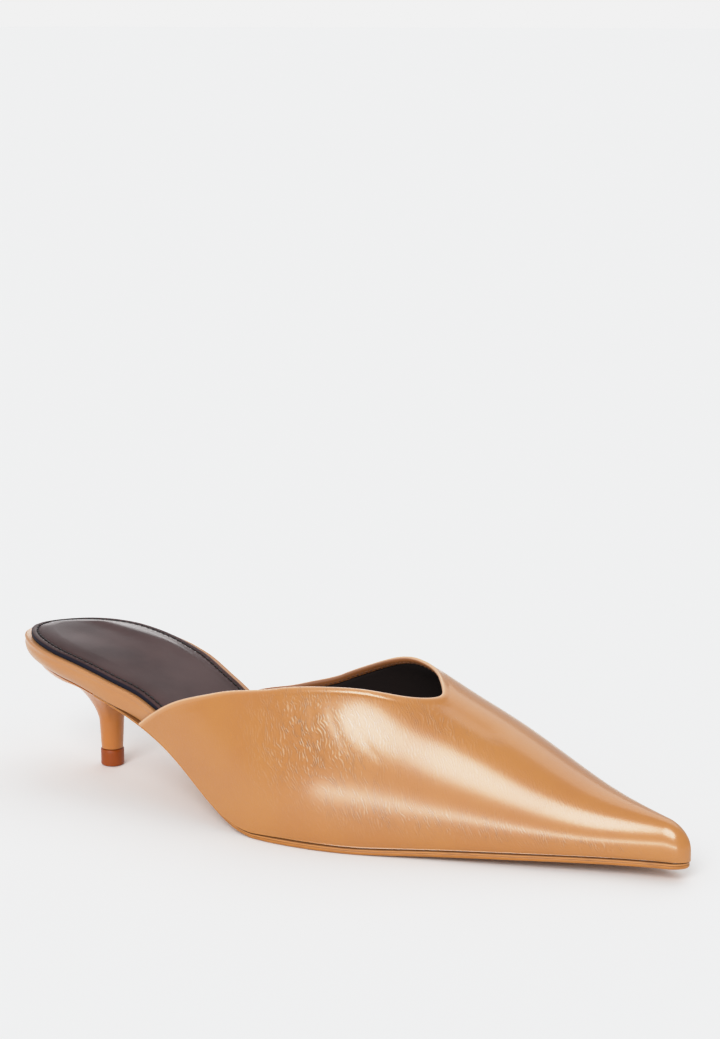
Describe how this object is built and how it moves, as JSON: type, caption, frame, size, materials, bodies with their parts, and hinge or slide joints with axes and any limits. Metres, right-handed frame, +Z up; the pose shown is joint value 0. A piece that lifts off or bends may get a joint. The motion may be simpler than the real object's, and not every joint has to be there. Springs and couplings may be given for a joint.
{
  "type": "kitten heel mule",
  "caption": "Right kitten heel mule: long pointed closed toe, V-cut topline, open back, dark padded sock on a wrapped footbed, thin sole and a slim low heel with a small top piece.",
  "frame": {"origin": "on the floor under the middle of the shoe's box", "axes": "+X towards the toe, +Z up, -Y towards the lateral side of the right shoe, +Y towards the medial side"},
  "size_m": [0.27, 0.075, 0.0574],
  "materials": {
    "outsole": "satin",
    "footbed": "smooth",
    "sock": "soft",
    "upper": "glossy",
    "heel": "satin lacquer",
    "top_piece": "satin"
  },
  "bodies": {
    "root": {"outsole": "outsole", "footbed": "footbed", "sock": "sock", "upper": "upper", "heel": "heel", "top_piece": "top_piece"}
  },
  "joints": []
}
